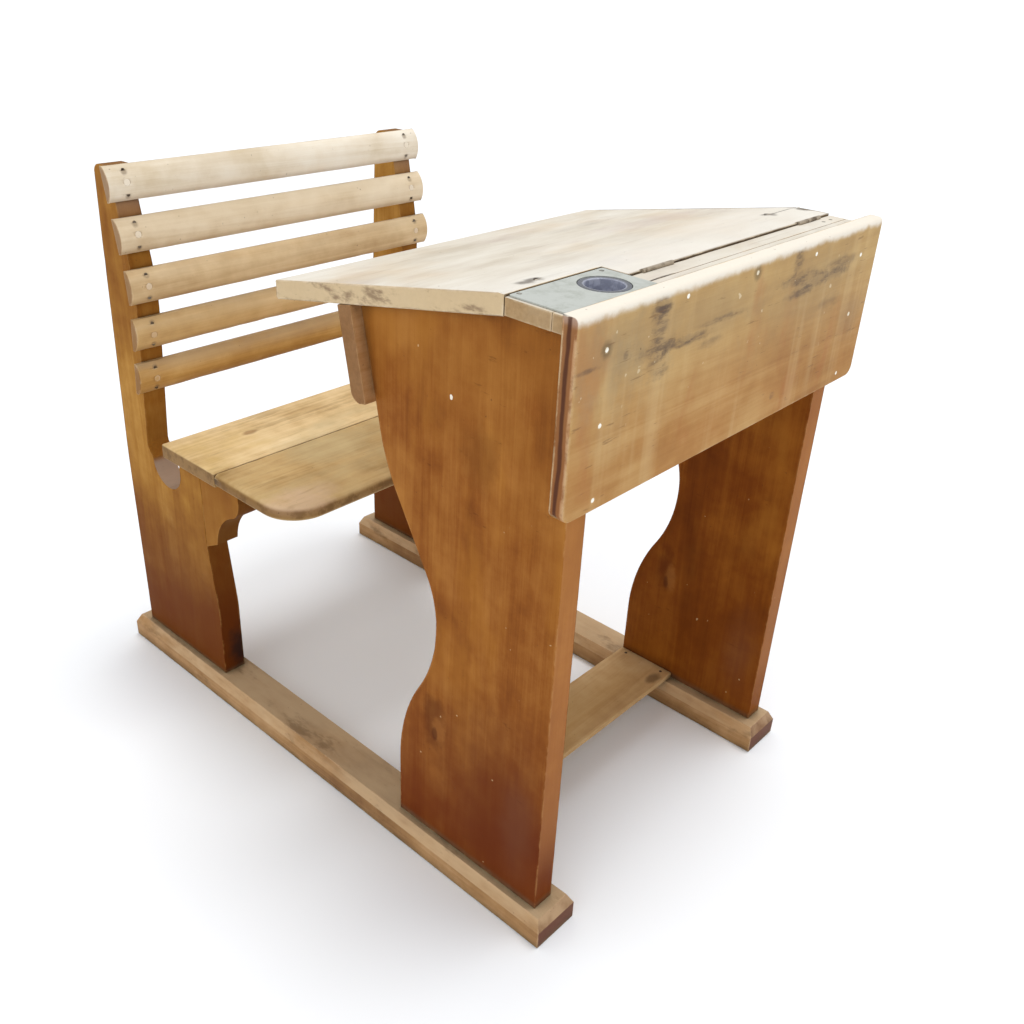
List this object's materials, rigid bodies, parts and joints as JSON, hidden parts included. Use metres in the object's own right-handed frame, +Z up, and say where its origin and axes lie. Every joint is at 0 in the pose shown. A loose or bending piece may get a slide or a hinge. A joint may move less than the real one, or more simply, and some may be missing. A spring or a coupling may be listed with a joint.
{
  "type": "student desk chair",
  "caption": "One-pupil wooden school desk joined by runners to its slatted seat, with a hinged sloping lid over a book box, a footrest and a lift-out inkwell.",
  "frame": {"origin": "bottom centre of the whole object's bounding box, on the floor under the two runners", "axes": "+Z up; -Y the way the seated pupil faces (the front board's side); -X the pupil's right hand (the inkwell's side)"},
  "size_m": [0.56, 0.864, 0.7595],
  "materials": {
    "runner_wood": "worn satin varnish",
    "varnished_wood": "aged satin varnish",
    "inner_wood": "bare, ink-spotted",
    "bleached_wood": "worn bare, bleached",
    "board_wood": "worn varnish with ink stains",
    "seat_wood": "worn matt",
    "slat_wood": "worn satin varnish",
    "footrest_wood": "foot-worn matt",
    "dowel_wood": "matt",
    "plate_metal": "worn dull grey-green",
    "inkwell_glaze": "dark glazed",
    "hinge_brass": "tarnished",
    "nail_steel": "dull, rusty",
    "screw_steel": "dull, rusty"
  },
  "bodies": {
    "desk": {"apron": "varnished_wood", "apron_nails": "nail_steel", "back_slat_1": "slat_wood", "back_slat_2": "slat_wood", "back_slat_3": "slat_wood", "back_slat_4": "slat_wood", "back_slat_5": "slat_wood", "book_shelf": "inner_wood", "chair_standard_left": "varnished_wood", "chair_standard_right": "varnished_wood", "cleat_screws": "screw_steel", "corbel_dowels": "dowel_wood", "desk_end_left": "varnished_wood", "desk_end_right": "varnished_wood", "footrest": "footrest_wood", "footrest_nails": "nail_steel", "front_board": "board_wood", "front_board_nails": "nail_steel", "hinge_pin_left": "hinge_brass", "hinge_pin_right": "hinge_brass", "hinge_rail_leaf_left": "hinge_brass", "hinge_rail_leaf_right": "hinge_brass", "hinge_rail_screws": "screw_steel", "inkwell_plate": "plate_metal", "plate_screws": "screw_steel", "rail_filler": "bleached_wood", "rail_nails": "nail_steel", "runner_left": "runner_wood", "runner_right": "runner_wood", "runner_screws": "screw_steel", "seat_corbel_left": "varnished_wood", "seat_corbel_right": "varnished_wood", "seat_dowels": "dowel_wood", "seat_plank_front": "seat_wood", "seat_plank_rear": "seat_wood", "shelf_cleat_left": "inner_wood", "shelf_cleat_right": "inner_wood", "slat_nails": "nail_steel", "slat_plugs": "dowel_wood", "slat_screws": "screw_steel", "top_rail": "bleached_wood"},
    "lid": {"hinge_lid_leaf_left": "hinge_brass", "hinge_lid_leaf_right": "hinge_brass", "hinge_lid_screws": "screw_steel", "lid": "bleached_wood", "lid_batten_left": "inner_wood", "lid_batten_right": "inner_wood", "lid_screws": "screw_steel"},
    "inkwell": {"inkwell": "inkwell_glaze"}
  },
  "joints": [
    {"name": "lid_hinge", "type": "hinge", "parent": "desk", "child": "lid", "pos_m": [0, -0.368, 0.753], "axis": [1, 0, 0], "range_deg": [0, 170]},
    {"name": "inkwell_lift", "type": "slide", "parent": "desk", "child": "inkwell", "axis": [0, 0, 1], "range_m": [0, 0.06]}
  ]
}
